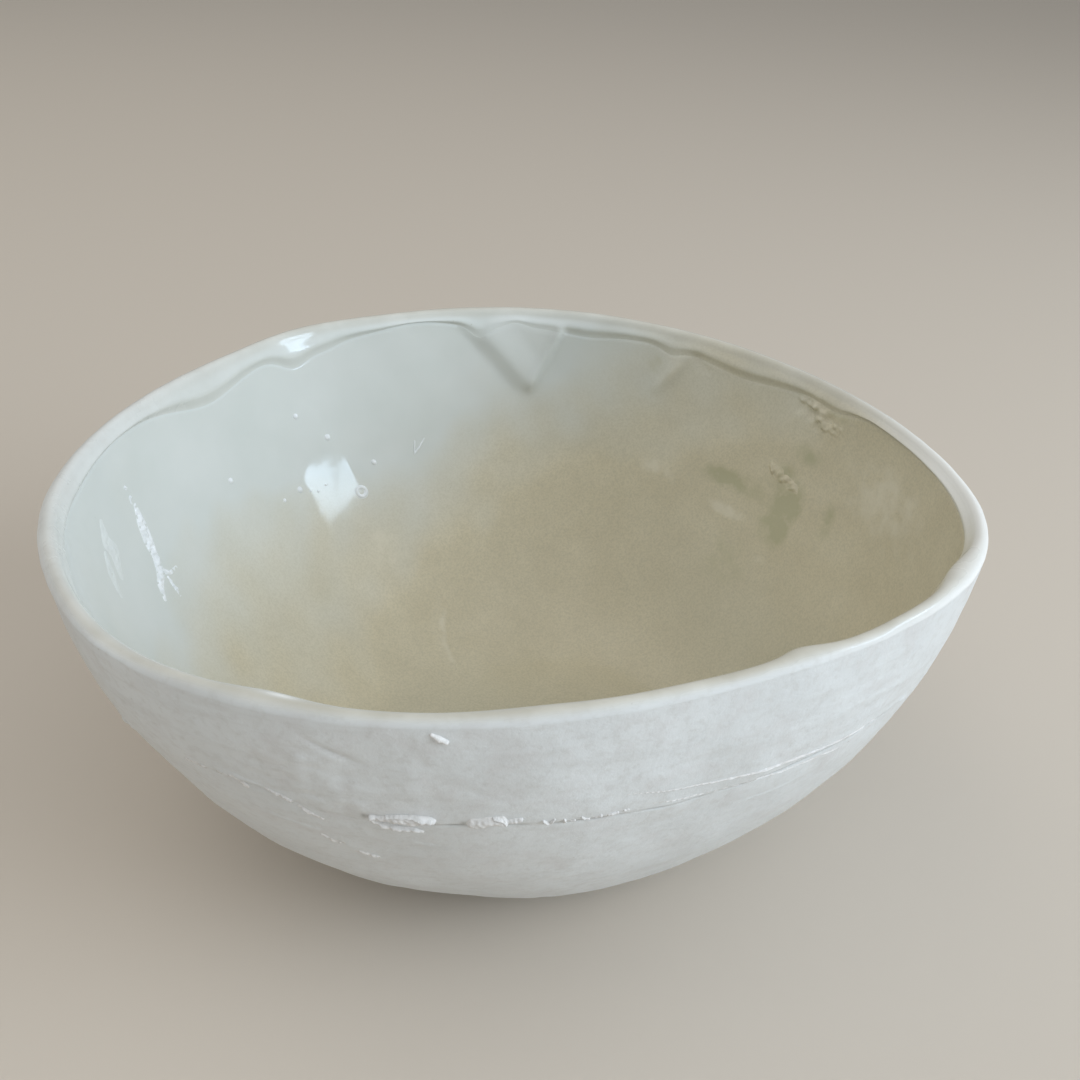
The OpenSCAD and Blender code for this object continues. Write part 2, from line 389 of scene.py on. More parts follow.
def inside_relief(a, z, p):
    """How far the glazed inside stands out from the plain shape, into the bowl, in mm."""
    calm = 1 - spot(a, z, (132, 42), (24, 24))
    h = calm * lumps(p, INSIDE_LUMPS) + lumps(p, FINE_LUMPS)
    h += tongue(a, z, TONGUE_TIP, TONGUE_TOP, TONGUE_H)
    h += ridge(a, z, SMALL_RIDGE, 1.7, 0.45) + 0.3 * spot(a, z, (60, 71), (4, 5))
    h -= ridge(a, z, SMALL_GROOVE, 1.0, 0.35)
    # The smooth place turns a little, and has a hollow high in it
    along = turn(a - SMOOTH_PLACE[0]) * PER_DEGREE
    h -= 0.05 * along * np.exp(-((along / 9.5) ** 2) - ((z - SMOOTH_PLACE[1]) / 18) ** 2)
    h -= 0.5 * spot(a, z, (138, 51), (6.6, 6.6))
    h += 0.45 * floor_crease(a, z)
    h += 0.12 * brushed_and_lit(a, z)
    torn = spots(a, z, TEARS)
    h += 0.32 * torn * waves(p, 3.4, 26) + 0.15 * torn
    return h


def brushed_and_lit(a, z):
    """Brushwork strokes, and one place of painted light: above zero where pale, below zero where
    dark.
    """
    pale = spots(a, z, PALE_STROKES_AND_LIGHT) + 0.7 * floor_crease(a, z)
    return np.clip(pale, 0, 1) - np.clip(spots(a, z, DARK_STROKES), 0, 1)


def pooled_and_shaded(p):
    """How thick the glaze lies, and painted light and shade: thin high on the left, thick on the
    floor and the right.

    The change from left to right is partly painted light and shade: paler and cooler on the lit
    left, olive and darker on the shaded right. Above 1 it is painted darker still, as painted shade
    on the front of the floor and low on the right.
    """
    x, y, z = p[..., 0], p[..., 1], p[..., 2]
    # Thicker lower down and to the front, and to the right, which is painted shade on the side
    # turned from the light
    share = 0.62 + np.where(x > 0, x / 75, x / 130) + (45 - z) / 60 - y / 400
    share += 0.3 * smooth_step(z, 58, 26) + 0.1 * waves(p, 36, 31) + 0.05 * waves(p, 11, 32)
    # It stays thin down the back left
    a = np.degrees(np.arctan2(y, x))
    share -= 0.42 * spot(a, z, (115, 46), (20, 22))
    # Painted shade: darker still on the front of the floor and low on the right
    front = 0.52 * smooth_step(y, 38, -5) * smooth_step(x, -50, -5)
    low = smooth_step(z, 45, 18) * np.maximum(front, 0.3 * smooth_step(x, 15, 60))
    return np.clip(share, 0, 1) + low


# ---------------------------------------------------------------- meshes


def build(name, points, faces, material, replaces, layers):
    """Makes one piece from points in mm and rides it on the root body."""
    mesh = bpy.data.meshes.new(name)
    mesh.from_pydata((np.asarray(points, float).reshape(-1, 3) * MM).tolist(), [], faces)
    mesh.validate()
    mesh.polygons.foreach_set("use_smooth", [True] * len(mesh.polygons))
    for layer, values in layers.items():
        attribute = mesh.attributes.new(layer, "FLOAT", "POINT")
        attribute.data.foreach_set("value", np.asarray(values, np.float32).ravel())
    mesh.set_sharp_from_angle(angle=math.radians(SHARP_EDGE))
    mesh.materials.append(material)
    mesh.update()
    piece = bpy.data.objects.new(name, mesh)
    bpy.context.scene.collection.objects.link(piece)
    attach(piece, "root")
    if replaces:
        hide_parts(*replaces)


def ring_faces(rows, cols, closed=False):
    """Faces of a grid whose columns go round; closed joins the last row to the first."""
    j = np.arange(cols)
    k = (j + 1) % cols
    faces = []
    for i in range(rows if closed else rows - 1):
        low, high = i * cols, ((i + 1) % rows) * cols
        faces += np.stack([low + j, low + k, high + k, high + j], -1).tolist()
    return faces


def cup_faces(rows, cols):
    """Faces of a closed cup: the grid, and a fan to one point past each end of it."""
    faces = ring_faces(rows, cols)
    first, last = rows * cols, rows * cols + 1
    for j in range(cols):
        k = (j + 1) % cols
        faces.append([first, k, j])
        faces.append([last, (rows - 1) * cols + j, (rows - 1) * cols + k])
    return faces


def cup(name, layers, material, replaces, paint):
    """One closed piece from rings of points, its ends shut by fans; paint holds layer values."""
    points = np.concatenate([layers.reshape(-1, 3), [layers[0].mean(0)], [layers[-1].mean(0)]])
    faces = cup_faces(len(layers), layers.shape[1])
    extra = {}
    for layer, values in paint.items():
        extra[layer] = np.concatenate([values.ravel(), [values[0].mean(), values[-1].mean()]])
    build(name, points, faces, material, replaces, extra)


def scale_at(face_of, place):
    """Millimetres along a face for one degree round it and for one millimetre up."""
    p0, _ = face_of(np.array(place[0]), np.array(place[1]))
    p1, _ = face_of(np.array(place[0] + 0.5), np.array(place[1]))
    p2, _ = face_of(np.array(place[0]), np.array(place[1] + 0.5))
    return 2 * np.linalg.norm(p1 - p0), 2 * np.linalg.norm(p2 - p0)


def patch_mesh(face_of, place, size, step, height):
    """A small closed patch on a face: place is its middle as (direction, height up the bowl).

    height(u, v) gives how far the patch stands out at u along and v up, in mm. Where it is below
    zero, the patch is under the face and doesn't show.
    """
    nu, nv = (max(8, int(round(s / step))) + 1 for s in size)
    u, v = np.meshgrid(np.linspace(-0.5, 0.5, nu) * size[0], np.linspace(-0.5, 0.5, nv) * size[1])
    scale = scale_at(face_of, place)
    a, z = place[0] + u / scale[0], place[1] + v / scale[1]
    p, n = face_of(a, z)
    h = np.maximum(height(u, v), -0.3)
    top = (p + n * h[..., None]).reshape(-1, 3)
    under = (p - n * 0.5).reshape(-1, 3)
    flip = np.dot(np.cross(p[0, 1] - p[0, 0], p[1, 0] - p[0, 0]), n[0, 0]) < 0
    index = np.arange(nu * nv).reshape(nv, nu)
    quads = np.stack([index[:-1, :-1], index[:-1, 1:], index[1:, 1:], index[1:, :-1]], -1)
    quads = quads.reshape(-1, 4)
    faces = quads.tolist() + (quads[:, ::-1] + nu * nv).tolist()
    border = np.concatenate([index[0, :-1], index[:-1, -1], index[-1, :0:-1], index[:0:-1, 0]])
    following = np.roll(border, -1)
    faces += np.stack([following, border, border + nu * nv, following + nu * nv], -1).tolist()
    if flip:
        faces = [f[::-1] for f in faces]
    return np.concatenate([top, under]), faces


def joined(name, patches, material, replaces=(), paint=()):
    """One piece made of several patches; paint is (layer, function from points to values)."""
    points, faces, start = [], [], 0
    for p, f in patches:
        points.append(p)
        faces += [[i + start for i in face] for face in f]
        start += len(p)
    points = np.concatenate(points)
    layers = {layer: value_of(points) for layer, value_of in paint}
    build(name, points, faces, material, replaces, layers)


def strand(u, v, path, soft=False):
    """Height of a strand of clay whose path is a list of (u, v, half width, height)."""
    best = np.full(u.shape, -1.0)
    for (u0, v0, w0, h0), (u1, v1, w1, h1) in zip(path, path[1:]):
        du, dv = u1 - u0, v1 - v0
        t = np.clip(((u - u0) * du + (v - v0) * dv) / (du * du + dv * dv), 0, 1)
        off = np.hypot(u - u0 - t * du, v - v0 - t * dv) / (w0 + (w1 - w0) * t)
        inner = np.clip(1 - off * off, 0, 1)
        section = inner * inner if soft else np.sqrt(inner)
        section = section - 0.35 * np.clip(off - 1, 0, 1)
        best = np.maximum(best, (h0 + (h1 - h0) * t) * section - 0.03 * (off > 1))
    return best


def strands(face_of, paths, step, added=(0, 1, 1), soft=False):
    """A patch carrying strands, each a list of (direction, height up, half width, how proud).

    added is (how proud, how big, seed) for roughness on top.
    """
    places = np.array([place for path in paths for place in path])
    lo, hi = places[:, :2].min(0), places[:, :2].max(0)
    middle = (lo + hi) / 2
    scale = np.array(scale_at(face_of, middle))
    size = (hi - lo) * scale + 2 * (places[:, 2].max() * 1.5 + 0.3)
    local = [[(*((np.array(s[:2]) - middle) * scale), *s[2:]) for s in path] for path in paths]

    def height(u, v):
        h = np.max([strand(u, v, path, soft) for path in local], axis=0)
        return h + added[0] * rough(u, v, added[1], added[2]) * smooth_step(h, -0.02, 0.15)

    return patch_mesh(face_of, middle, size, step, height)


def rough(u, v, size, seed):
    """Fine random lumps on a flat patch."""
    return waves(np.stack([u, v, np.zeros(u.shape)], -1), size, seed)


# ---------------------------------------------------------------- materials


class Nodes:
    """Short calls for wiring a material."""

    def __init__(self, name):
        self.material = bpy.data.materials.new(name)
        self.material.use_nodes = True
        self.tree = self.material.node_tree
        self.shader = self.tree.nodes["Principled BSDF"]
        self.place = self.tree.nodes.new("ShaderNodeTexCoord").outputs["Object"]

    def link(self, out, into):
        self.tree.links.new(out, into)

    def attribute(self, name):
        node = self.tree.nodes.new("ShaderNodeAttribute")
        node.attribute_name = name
        return node.outputs["Fac"]

    def noise(self, size_mm, detail=3.0, roughness=0.5, stretch=(1, 1, 1)):
        mapping = self.tree.nodes.new("ShaderNodeMapping")
        mapping.inputs["Scale"].default_value = tuple(1 / s for s in stretch)
        self.link(self.place, mapping.inputs["Vector"])
        node = self.tree.nodes.new("ShaderNodeTexNoise")
        node.inputs["Scale"].default_value = 1 / (size_mm * MM)
        node.inputs["Detail"].default_value = detail
        node.inputs["Roughness"].default_value = roughness
        self.link(mapping.outputs["Vector"], node.inputs["Vector"])
        return node.outputs["Fac"]

    def pits(self, size_mm, radius):
        """Small round specks: 1 at the middle of each, 0 between them."""
        node = self.tree.nodes.new("ShaderNodeTexVoronoi")
        node.inputs["Scale"].default_value = 1 / (size_mm * MM)
        self.link(self.place, node.inputs["Vector"])
        return self.spread(node.outputs["Distance"], radius, radius * 0.4, 0, 1)

    def spread(self, value, from_lo, from_hi, to_lo, to_hi):
        """Maps one range of values onto another, held at its ends."""
        node = self.tree.nodes.new("ShaderNodeMapRange")
        for name, number in zip(
            ("From Min", "From Max", "To Min", "To Max"), (from_lo, from_hi, to_lo, to_hi)
        ):
            node.inputs[name].default_value = number
        self.link(value, node.inputs["Value"])
        return node.outputs["Result"]

    def mix(self, share, a, b):
        """Mixes two colours; share, a and b may be sockets or plain values."""
        node = self.tree.nodes.new("ShaderNodeMix")
        node.data_type = "RGBA"
        # The colours of this node are its inputs 6 and 7
        for index, value in ((0, share), (6, a), (7, b)):
            if isinstance(value, (int, float)):
                node.inputs[index].default_value = value
            elif isinstance(value, tuple):
                node.inputs[index].default_value = (*value, 1)
            else:
                self.link(value, node.inputs[index])
        return node.outputs[2]

    def math(self, kind, a, b):
        node = self.tree.nodes.new("ShaderNodeMath")
        node.operation = kind
        for index, value in ((0, a), (1, b)):
            if isinstance(value, (int, float)):
                node.inputs[index].default_value = value
            else:
                self.link(value, node.inputs[index])
        return node.outputs[0]

    def bump(self, height, distance_mm, strength=1.0, onto=None):
        node = self.tree.nodes.new("ShaderNodeBump")
        node.inputs["Distance"].default_value = distance_mm * MM
        node.inputs["Strength"].default_value = strength
        self.link(height, node.inputs["Height"])
        if onto is not None:
            self.link(onto, node.inputs["Normal"])
        return node.outputs["Normal"]


# Colours, each red, green and blue; a pair is the lowest and the highest of a range
CLAY = ((0.71, 0.745, 0.76), (0.77, 0.81, 0.83))
CLAY_BLOTCH = (0.67, 0.67, 0.675)
CLAY_MARK = (0.62, 0.635, 0.63)
CLAY_PIT = (0.34, 0.32, 0.28)
PAINTED_CREVICE_SHADE = (0.28, 0.28, 0.26)
SCRAP_CLAY = ((0.68, 0.68, 0.67), (0.82, 0.82, 0.82))
THIN_LIT_GLAZE = ((0.635, 0.675, 0.66), (0.675, 0.71, 0.7))
DEEP_SHADED_GLAZE = ((0.63, 0.57, 0.42), (0.69, 0.63, 0.475))
DEEPEST_SHADED_GLAZE = (0.53, 0.49, 0.37)
GLAZE_CLOUD = (0.5, 0.47, 0.37)
GLAZE_GRAIN = (0.4, 0.38, 0.28)
GLAZE_SPECK = (0.35, 0.33, 0.26)
PALE_STROKE_AND_LIGHT = (0.74, 0.7, 0.58)
DARK_STROKE = (0.465, 0.445, 0.295)
CREAM = ((0.535, 0.515, 0.445), (0.625, 0.61, 0.545))
HIGHLIGHT_WHITE = (0.92, 0.93, 0.92)
# The runs are painted whiter: partly thicker glaze, partly a painted highlight of the light they
# catch
RUN_GLAZE_AND_HIGHLIGHT = ((0.76, 0.8, 0.82), (0.88, 0.91, 0.94))
FAINT_RUN_GLAZE_AND_HIGHLIGHT = ((0.69, 0.725, 0.72), (0.75, 0.79, 0.79))


def white_clay(n):
    """The colour of white porcelain under its thin, nearly matt glaze."""
    clouds = n.spread(n.noise(22, 3), 0.35, 0.65, 0, 1)
    drag = n.noise(2.4, 3, 0.55, stretch=(9, 9, 1))
    fine = n.noise(1.6, 3, 0.6)
    pits = n.math("MULTIPLY", n.pits(5, 0.05), n.spread(n.noise(14, 2), 0.52, 0.62, 0, 1))
    blotches = n.noise(6, 4, 0.6)
    white = n.mix(clouds, *CLAY)
    white = n.mix(n.spread(blotches, 0.5, 0.7, 0, 0.45), white, CLAY_BLOTCH)
    white = n.mix(n.spread(drag, 0.54, 0.75, 0, 0.4), white, CLAY_MARK)
    white = n.mix(n.spread(fine, 0.5, 0.72, 0, 0.5), white, CLAY_MARK)
    return n.mix(n.math("MULTIPLY", pits, 0.5), white, CLAY_PIT), drag


def glaze_colour(n):
    """Grey-green glaze, paler where thin, olive where it pools, with painted light and shade."""
    thin = n.mix(n.spread(n.noise(16, 3), 0.3, 0.7, 0, 1), *THIN_LIT_GLAZE)
    clouds = n.spread(n.noise(10, 4, 0.6), 0.3, 0.7, 0, 1)
    deep = n.mix(clouds, *DEEP_SHADED_GLAZE)
    # Painted light and shade mixed with the pooling: the lit left thin and pale, the shaded right
    # deep and olive, the front of the floor deepest
    body = n.mix(n.attribute("pool_and_shade"), thin, deep)
    body = n.mix(n.spread(n.attribute("pool_and_shade"), 0.95, 1.4, 0, 1), body, DEEPEST_SHADED_GLAZE)
    fine = n.spread(n.noise(1.4, 3, 0.6), 0.5, 0.75, 0, 0.25)
    body = n.mix(n.math("MULTIPLY", fine, n.attribute("pool_and_shade")), body, GLAZE_CLOUD)
    grain = n.spread(n.noise(0.5, 2, 0.6), 0.4, 0.65, 0, 0.3)
    body = n.mix(n.math("MULTIPLY", grain, n.attribute("pool_and_shade")), body, GLAZE_GRAIN)
    specks = n.math("MULTIPLY", n.pits(7, 0.035), n.spread(n.noise(18, 2), 0.5, 0.6, 0, 0.35))
    return n.mix(specks, body, GLAZE_SPECK)


def satin_porcelain():
    """White porcelain under a thin, nearly matt glaze, with the marks of wet hands."""
    n = Nodes("satin_porcelain")
    white, drag = white_clay(n)
    # Painted shade in the crevices of the outside
    white = n.mix(n.attribute("painted_crevice_shade"), white, PAINTED_CREVICE_SHADE)
    n.link(white, n.shader.inputs["Base Color"])
    n.link(n.spread(n.noise(9, 4), 0.3, 0.7, 0.34, 0.5), n.shader.inputs["Roughness"])
    n.shader.inputs["Coat Weight"].default_value = 0.2
    n.shader.inputs["Coat Roughness"].default_value = 0.3
    soft = n.bump(drag, 0.12, 0.7)
    rough_skin = n.bump(n.noise(2.6, 4, 0.6), 0.2, 0.65, soft)
    n.link(n.bump(n.noise(0.5, 2, 0.6), 0.04, 0.7, rough_skin), n.shader.inputs["Normal"])
    return n.material


def scrap_porcelain():
    """The rough scraps of clay, a little paler than the wall."""
    n = Nodes("scrap_porcelain")
    pale = n.mix(n.spread(n.noise(1.2, 3), 0.35, 0.65, 0, 1), *SCRAP_CLAY)
    n.link(pale, n.shader.inputs["Base Color"])
    n.link(n.spread(n.noise(1.5, 3), 0.3, 0.7, 0.22, 0.42), n.shader.inputs["Roughness"])
    n.link(n.bump(n.noise(0.6, 3), 0.12, 0.7), n.shader.inputs["Normal"])
    return n.material


def glazed_lip():
    """White lip with painted highlights, creamier on top, and the same glaze as the inside on the
    folded strip.
    """
    n = Nodes("glazed_lip")
    white, _ = white_clay(n)
    # Painted highlight: white along the right end of the lip, where the light falls, and a painted
    # glint on the front left
    white = n.mix(n.attribute("painted_highlight"), white, HIGHLIGHT_WHITE)
    clouds = n.spread(n.noise(7, 3), 0.35, 0.65, 0, 1)
    lip = n.mix(n.attribute("top"), white, n.mix(clouds, *CREAM))
    lip = n.mix(n.attribute("strip"), lip, glaze_colour(n))
    n.link(lip, n.shader.inputs["Base Color"])
    glossy = n.spread(n.noise(5, 3), 0.3, 0.7, 0.1, 0.2)
    dull = n.spread(n.attribute("top"), 0, 1, 0.26, 0)
    n.link(n.math("ADD", glossy, dull), n.shader.inputs["Roughness"])
    n.link(n.spread(n.attribute("top"), 0, 1, 0.2, 0.6), n.shader.inputs["Coat Weight"])
    n.shader.inputs["Coat Roughness"].default_value = 0.06
    n.link(n.bump(n.noise(2.2, 2), 0.06, 0.4), n.shader.inputs["Normal"])
    return n.material


def inside_glaze():
    """Clear glaze over porcelain."""
    n = Nodes("inside_glaze")
    body = glaze_colour(n)
    # Pale and dark brushwork strokes, and painted light at the right end
    ragged = n.math("MULTIPLY", n.attribute("brushwork_and_light"), n.spread(n.noise(3.5, 4), 0.3, 0.7, 0.4, 1.5))
    body = n.mix(n.spread(ragged, 0.2, 0.65, 0, 0.6), body, PALE_STROKE_AND_LIGHT)
    body = n.mix(n.spread(ragged, -0.12, -0.7, 0, 0.85), body, DARK_STROKE)
    n.link(body, n.shader.inputs["Base Color"])
    gloss = n.spread(n.noise(12, 3), 0.3, 0.7, 0.05, 0.11)
    dull = n.spread(n.attribute("pool_and_shade"), 0.5, 1, 0, 0.16)
    n.link(n.math("ADD", gloss, dull), n.shader.inputs["Roughness"])
    n.shader.inputs["Coat Weight"].default_value = 0.15
    n.link(n.spread(n.attribute("pool_and_shade"), 0.5, 1, 0.04, 0.2), n.shader.inputs["Coat Roughness"])
    n.link(n.bump(n.noise(6, 2), 0.08, 0.3), n.shader.inputs["Normal"])
    return n.material


def glaze_run_and_highlight(name, low, high):
    """Glaze that ran a little thicker, painted whiter than the rest: partly thicker glaze, partly a
    painted highlight.
    """
    n = Nodes(name)
    pale = n.mix(n.spread(n.noise(2, 3), 0.3, 0.7, 0, 1), low, high)
    n.link(pale, n.shader.inputs["Base Color"])
    n.link(n.spread(n.noise(3, 2), 0.3, 0.7, 0.06, 0.12), n.shader.inputs["Roughness"])
    return n.material


SATIN = satin_porcelain()
SCRAP = scrap_porcelain()
LIP = glazed_lip()
GLAZE = inside_glaze()
RUN_AND_HIGHLIGHT = glaze_run_and_highlight("glaze_run_and_highlight", *RUN_GLAZE_AND_HIGHLIGHT)
FAINT_RUN_AND_HIGHLIGHT = glaze_run_and_highlight("faint_glaze_run_and_highlight", *FAINT_RUN_GLAZE_AND_HIGHLIGHT)


# ---------------------------------------------------------------- pieces


def outer_face(a, z):
    """The outside as it shows, and the way out of the clay."""
    p = outside(a, z)
    n = unit(np.cross(outside(a + 0.2, z) - p, outside(a, z + 0.2) - p))
    return p + n * outside_relief(a, z, p)[..., None], n


def glaze_face(a, z):
    """The glazed inside as it shows, and the way out of it."""
    p = inside(a, z)
    n = -unit(np.cross(inside(a + 0.2, z) - p, inside(a, z + 0.2) - p))
    return p + inwards(p) * (GLAZE_T + inside_relief(a, z, p))[..., None], n


def outer_paint(a, z, p):
    """Painted shade in the crevices of the outside: how dark the thin gap under the seam and the
    left ends of the curl and the tab are painted.
    """
    # Painted shade in the thin gap under the seam
    dark = 0.7 * np.clip(seam_groove(a, z, p), 0, 1)
    # Shade at the left ends of the curl and the tab
    dark += 0.8 * spot(a, z, (-111.3, 57.7), (0.5, 0.7))
    dark += 0.7 * spot(a, z, (-100.1, 56.6), (0.4, 0.6))
    return {"painted_crevice_shade": np.clip(dark, 0, 1)}


def padded(values, before, after):
    """Adds rows of zeros before and after the rows that are painted."""
    cols = values.shape[1]
    return np.concatenate([np.zeros((before, cols)), values, np.zeros((after, cols))])


def around(heights):
    """Directions for each point of a grid of heights."""
    return np.broadcast_to(DIRECTIONS, heights.shape)


def lower_dish():
    """Floor, flat foot and wall up to the seam."""
    foot = flat_disc(FOOT_R, 0, (0.03, 0.4, 0.75, 0.92))
    # Rows lie closer together near the foot and near the seam
    shares = np.linspace(0, 1, 46) ** 1.35 * 0.85
    shares = np.concatenate([shares, np.linspace(0.87, 1, 34)])
    z = shares[:, None] * seam(DIRECTIONS)
    a = around(z)
    outer, _ = outer_face(a, z)
    paint = outer_paint(a, z, outer)
    zi = FLOOR_T + (seam(DIRECTIONS) - FLOOR_T) * np.linspace(1, 0, 12)[:, None] ** 1.4
    inner = inside(around(zi), zi)
    inner = inner - inwards(inner) * CLAY_BACK
    hidden_floor = flat_disc(FOOT_R - FLOOR_INSET, FLOOR_T - CLAY_BACK, (0.5, 0.03))
    layers = np.concatenate([foot, outer, inner, hidden_floor])
    paint = {name: padded(values, len(foot), len(inner) + 2) for name, values in paint.items()}
    cup("lower_dish_wall", layers, SATIN, ["lower_dish"], paint)


def upper_band():
    """The ring of wall above the seam."""
    shares = np.concatenate([np.linspace(0, 0.3, 36, endpoint=False), np.linspace(0.3, 1, 32)])
    z = seam(DIRECTIONS) + (WALL_TOP - seam(DIRECTIONS)) * shares[:, None]
    a = around(z)
    outer, _ = outer_face(a, z)
    paint = outer_paint(a, z, outer)
    zi = seam(DIRECTIONS) + (WALL_TOP - seam(DIRECTIONS)) * np.linspace(1, 0, 7)[:, None]
    inner = inside(around(zi), zi)
    inner = inner - inwards(inner) * CLAY_BACK
    layers = np.concatenate([outer, inner])
    faces = ring_faces(len(layers), COLS, closed=True)
    paint = {name: padded(values, 0, len(inner)) for name, values in paint.items()}
    build("upper_band_wall", layers, faces, SATIN, ["upper_band"], paint)


def strip_end(a):
    """How far the glazed face stands out from the clay at the strip's lower edge."""
    p = inside(a, fold_low(a))
    return FOLD_END * (GLAZE_T + inside_relief(a, fold_low(a), p))


def roll_rows(turned):
    """Rows of points over the rounded lip, from the outside to the inside."""
    a = DIRECTIONS
    level = np.full(COLS, WALL_TOP)
    lift = outside_relief(a, level, outside(a, level))
    rows = []
    for f in np.radians(turned):
        inset = lip_width(a) / 2 * (1 - math.cos(f)) - lift * (1 + math.cos(f)) / 2
        height = WALL_TOP + lip_height(a) * math.sin(f)
        rows.append(np.concatenate([rim(a, inset), height[:, None]], -1))
    return rows


def fold_rows(shares, roll_end):
    """Rows of points down the folded strip, which the roll runs on into without a crease."""
    a = DIRECTIONS
    level = inside(a, np.full(COLS, WALL_TOP))
    proud = lip_width(a) - WALL_T
    run_on = roll_end - level - inwards(level) * proud[:, None]
    drop = WALL_TOP - fold_low(a)
    rounded = np.minimum(FOLD_ROUND, 0.75 * drop)
    rows = []
    for s in shares:
        p = inside(a, WALL_TOP - drop * s)
        end = smooth_step(drop * s, drop - rounded, drop)
        thick = proud * (1 - s) + (FOLD_T + 0.25) * smooth_step(s, -0.1, 0.62)
        thick += 0.05 * waves(p, 9, 51) * min(1, s * 4)
        out = thick * (1 - end) + strip_end(a) * end
        rows.append(p + inwards(p) * out[:, None] + run_on * (1 - s) ** 3)
    # The strip's back lies on the wall
    for s in (1, 0.7, 0.35, 0):
        rows.append(inside(a, WALL_TOP - drop * s))
    return rows


def lip_paint(turned, shares, layers):
    """Where the lip is creamy on top, glazed as the inside is, or painted white as a highlight."""
    a = DIRECTIONS
    n_lip = len(turned)
    n_shown = n_lip + len(shares)
    top = np.ones((len(layers), COLS))
    top[:n_lip] = smooth_step(turned, 5, 85)[:, None]
    strip = np.zeros(top.shape)
    strip[:n_lip] = 0.5 * smooth_step(turned, 70, LIP_TURN)[:, None]
    strip[n_lip:n_shown] = 0.5 + 0.5 * smooth_step(shares, 0, 0.3)[:, None]
    # It is white at the right end, painted light where the light from the right falls on the lip,
    # and partly white on the left
    lit_white_end = (1 - 0.9 * hump(a, -2, 25)) * (1 - 0.62 * hump(a, 180, 35))
    # A painted highlight along the right end of the lip
    painted_highlight = np.ones(top.shape) * hump(a, -3, 36)
    # A painted glint: a short thin white highlight inside the crest, on the front left
    glint = hump(a, -118.5, 2.0) * np.exp(-(((turned[:, None] - 105) / 16) ** 2))
    painted_highlight[:n_lip] = np.maximum(painted_highlight[:n_lip], glint)
    top[:n_lip] *= 1 - glint
    return {
        "top": top * lit_white_end,
        "strip": strip * lit_white_end,
        "pool_and_shade": pooled_and_shaded(layers),
        "painted_highlight": painted_highlight,
    }


def lip_roll():
    """The rounded lip and the folded strip inside it."""
    turned = np.linspace(0, LIP_TURN, 24)
    shares = np.concatenate([np.linspace(0.04, 0.6, 12), 0.6 + 0.4 * np.linspace(0, 1, 18) ** 0.7])
    roll = roll_rows(turned)
    layers = np.array(roll + fold_rows(shares, roll[-1]))
    faces = ring_faces(len(layers), COLS, closed=True)
    paint = lip_paint(turned, shares, layers)
    build("lip_and_fold", layers, faces, LIP, ["lip_roll"], paint)


def glaze_coat():
    """The clear glaze, whose face is what shows inside the bowl."""
    low_z = FLOOR_T + (seam(DIRECTIONS) - FLOOR_T) * np.linspace(0, 1, 55)[:, None] ** 1.4
    low = inside(around(low_z), low_z)
    shares = np.linspace(0, 1, 26)[1:]
    band_z = seam(DIRECTIONS) + (fold_low(DIRECTIONS) - seam(DIRECTIONS)) * shares[:, None]
    band = inside(around(band_z), band_z)
    floor = flat_disc(FOOT_R - FLOOR_INSET, FLOOR_T, np.linspace(0.03, 0.97, 18))
    # One more row tucks the glaze under the strip's lower edge
    tuck_z = np.minimum(fold_low(DIRECTIONS) + 0.5, WALL_TOP - 0.1)
    tuck = inside(DIRECTIONS, tuck_z)
    under = np.concatenate([floor, low, band])
    a = around(under[..., 0])
    h = GLAZE_T + inside_relief(a, under[..., 2], under)
    h[-1] = strip_end(DIRECTIONS) + 0.02
    face = under + inwards(under) * h[..., None]
    face = np.concatenate([face, (tuck + inwards(tuck) * 0.1)[None]])
    back = np.concatenate([floor[::9], low[::6], band[::6]])
    back = back - inwards(back) * GLAZE_BACK
    layers = np.concatenate([back, face[::-1]])
    paint = {
        "pool_and_shade": padded(pooled_and_shaded(face)[::-1], len(back), 0),
        "brushwork_and_light": padded(brushed_and_lit(around(face[..., 0]), face[..., 2])[::-1], len(back), 0),
    }
    cup("glaze_coat", layers, GLAZE, ["inside_glaze"], paint)


def seam_slip():
    """The line of slip smeared along the seam, thick in some places and gone in others."""
    a = DIRECTIONS
    base = outside(a, seam(a))
    amount = np.clip(0.2 + 0.5 * waves(base, 16, 61) + 0.3 * waves(base, 4, 62), 0, 1)
    amount *= (1 - 0.8 * hump(a, -60, 26)) * (1 - 0.6 * hump(a, -120, 14))
    offsets = (-0.9, -0.65, -0.4, -0.15, 0.15, 0.5, 0.9, 1.3)
    rise, middle, half, height = 0.25, 0.2, 1.15, 0.36
    rows = []
    for offset in offsets:
        p, n = outer_face(a, seam(a) + offset + rise)
        shape = math.cos(math.pi / 2 * (offset - middle) / half)
        uneven = 1 + 0.45 * waves(p, 2.2, 63)
        rows.append(p + n * (height * amount * shape * uneven - 0.1)[:, None])
    # Its back is inside the wall
    for offset in (offsets[-1], middle, offsets[0]):
        p, n = outer_face(a, seam(a) + offset + rise)
        rows.append(p - n * 0.4)
    faces = ring_faces(len(rows), COLS, closed=True)
    paint = {"painted_crevice_shade": np.zeros((len(rows), COLS))}
    build("slip_line", np.array(rows), faces, SATIN, ["seam_slip"], paint)


